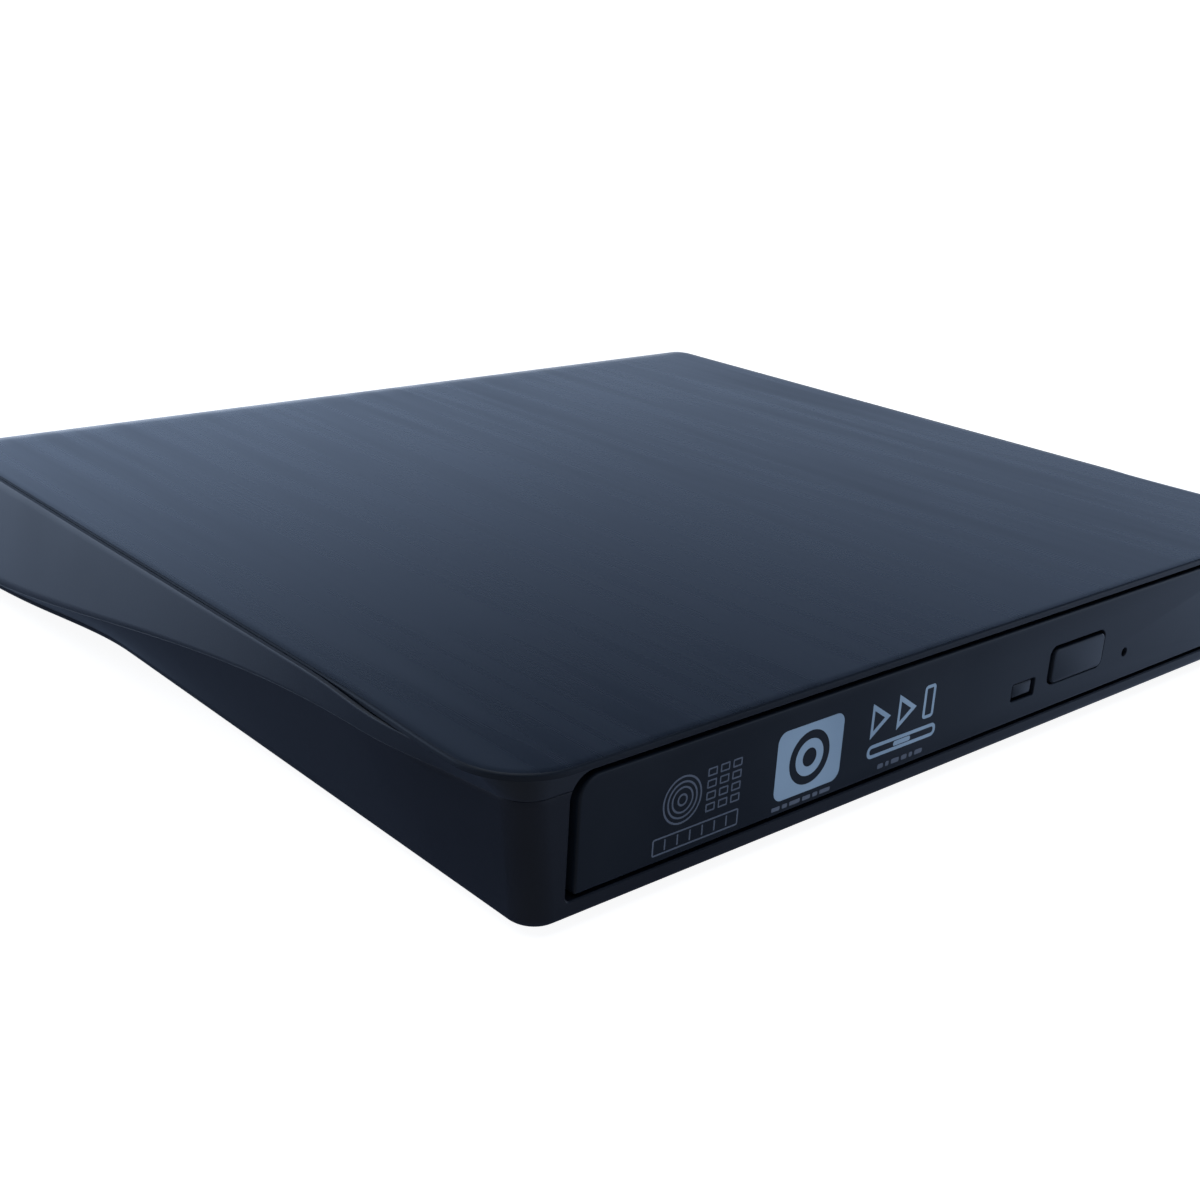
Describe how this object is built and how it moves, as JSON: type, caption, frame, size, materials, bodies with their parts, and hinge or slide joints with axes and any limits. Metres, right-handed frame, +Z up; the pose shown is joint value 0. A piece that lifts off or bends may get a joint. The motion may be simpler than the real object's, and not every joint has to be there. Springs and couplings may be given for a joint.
{
  "type": "external optical drive",
  "caption": "Slim external optical drive: brushed top plate over a flared case, with a tray that slides out on telescopic rails, an eject button, a spindle and a laser pickup.",
  "frame": {"origin": "centre of the bounding box's footprint, on the plane the rubber feet stand on", "axes": "+X to the right when facing the tray front, +Y towards the rear connectors, +Z up; the tray slides out along -Y"},
  "size_m": [0.154, 0.1432, 0.0186],
  "materials": {
    "brushed_plate": "brushed front to back, dark blue-black anodised",
    "case_plastic": "fine satin moulding, blue-black",
    "bezel_plastic": "smooth satin moulding with pale printed symbols",
    "tray_plastic": "fine spark-eroded texture, black",
    "foot_rubber": "matt black",
    "bright_steel": "bright ground steel",
    "zinc_sheet": "zinc-plated pressed sheet",
    "blackened_metal": "blackened pressed steel",
    "cast_metal": "die-cast, lightly sandblasted",
    "copper_winding": "enamelled copper wire",
    "circuit_board": "green solder mask",
    "black_moulding": "black engineering plastic",
    "flat_cable_film": "white film with fine conductors",
    "light_pipe": "smoked clear plastic",
    "lens_glass": "coated lens"
  },
  "bodies": {
    "case": {"brushed_top_plate": "brushed_plate", "top_cover": "case_plastic", "bottom_case": "case_plastic", "rubber_foot_front_left": "foot_rubber", "rubber_foot_rear_left": "foot_rubber", "rubber_foot_front_right": "foot_rubber", "rubber_foot_rear_right": "foot_rubber", "case_screw_front_left": "bright_steel", "case_screw_rear_left": "bright_steel", "case_screw_front_right": "bright_steel", "case_screw_rear_right": "bright_steel", "usb_port_shell": "bright_steel", "dc_power_jack_pin": "bright_steel", "drive_bottom_shell": "zinc_sheet", "drive_top_lid": "zinc_sheet", "bridge_board": "circuit_board", "drive_main_board": "circuit_board", "usb_port_tongue": "black_moulding", "dc_power_jack": "black_moulding", "sata_receptacle": "black_moulding", "drive_sata_plug": "black_moulding", "left_guide_rail": "black_moulding", "right_guide_rail": "black_moulding", "flat_cable": "flat_cable_film"},
    "left_rail": {"left_slide_rail": "bright_steel"},
    "right_rail": {"right_slide_rail": "bright_steel"},
    "tray": {"tray": "tray_plastic", "tray_bezel": "bezel_plastic", "led_window": "light_pipe", "tray_bottom_plate": "zinc_sheet", "tray_board": "circuit_board", "eject_switch": "black_moulding", "latch_solenoid": "copper_winding", "latch_pivot_pin": "bright_steel", "eject_plunger": "black_moulding", "eject_spring": "bright_steel", "traverse_deck": "blackened_metal", "rubber_damper_1": "foot_rubber", "rubber_damper_2": "foot_rubber", "rubber_damper_3": "foot_rubber", "main_guide_rod": "bright_steel", "sub_guide_rod": "bright_steel", "spindle_motor_base": "zinc_sheet", "motor_stator_coils": "copper_winding", "feed_motor": "zinc_sheet"},
    "eject_button": {"eject_button": "bezel_plastic"},
    "turntable": {"turntable": "black_moulding"},
    "clamp_claw_1": {"clamp_claw_1": "tray_plastic"},
    "clamp_claw_2": {"clamp_claw_2": "tray_plastic"},
    "clamp_claw_3": {"clamp_claw_3": "tray_plastic"},
    "pickup": {"pickup_sled": "cast_metal", "feed_follower": "black_moulding"},
    "lens": {"lens_holder": "black_moulding", "objective_lens": "lens_glass"},
    "lead_screw": {"lead_screw": "bright_steel"},
    "latch_lever": {"latch_lever": "bright_steel"}
  },
  "joints": [
    {"name": "tray_slide", "type": "slide", "parent": "case", "child": "tray", "axis": [0, -1, 0], "range_m": [0, 0.128]},
    {"name": "left_rail_slide", "type": "slide", "parent": "case", "child": "left_rail", "axis": [0, -1, 0], "range_m": [0, 0.064]},
    {"name": "right_rail_slide", "type": "slide", "parent": "case", "child": "right_rail", "axis": [0, -1, 0], "range_m": [0, 0.064]},
    {"name": "eject_button_press", "type": "slide", "parent": "tray", "child": "eject_button", "axis": [0, 1, 0], "range_m": [0, 0.0006], "stiffness_N_per_m": 400},
    {"name": "turntable_spin", "type": "hinge", "parent": "tray", "child": "turntable", "pos_m": [0, -0.0044, 0.0117], "axis": [0, 0, 1], "continuous": true},
    {"name": "clamp_claw_1_slide", "type": "slide", "parent": "turntable", "child": "clamp_claw_1", "axis": [0, -1, 0], "range_m": [0, 0.0006], "stiffness_N_per_m": 10},
    {"name": "clamp_claw_2_slide", "type": "slide", "parent": "turntable", "child": "clamp_claw_2", "axis": [0.866, 0.5, 0], "range_m": [0, 0.0006], "stiffness_N_per_m": 10},
    {"name": "clamp_claw_3_slide", "type": "slide", "parent": "turntable", "child": "clamp_claw_3", "axis": [-0.866, 0.5, 0], "range_m": [0, 0.0006], "stiffness_N_per_m": 10},
    {"name": "pickup_travel", "type": "slide", "parent": "tray", "child": "pickup", "axis": [-0.7071, -0.7071, 0], "range_m": [0, 0.034]},
    {"name": "lens_focus", "type": "slide", "parent": "pickup", "child": "lens", "axis": [0, 0, 1], "range_m": [-0.0004, 0.0004], "stiffness_N_per_m": 10},
    {"name": "lead_screw_turn", "type": "hinge", "parent": "tray", "child": "lead_screw", "pos_m": [-0.00049, -0.03332, 0.0075], "axis": [-0.7071, -0.7071, 0], "range_deg": [0, 4080]},
    {"name": "latch_release", "type": "hinge", "parent": "tray", "child": "latch_lever", "pos_m": [0.0455, -0.0504, 0.0069], "axis": [0, 0, -1], "range_deg": [0, 25], "stiffness_Nm_per_rad": 0.002}
  ],
  "couplings": [
    {"joint": "left_rail_slide", "follows": "tray_slide", "ratio": 0.5},
    {"joint": "right_rail_slide", "follows": "tray_slide", "ratio": 0.5},
    {"joint": "lead_screw_turn", "follows": "pickup_travel", "rad_per_m": 2094.4}
  ]
}
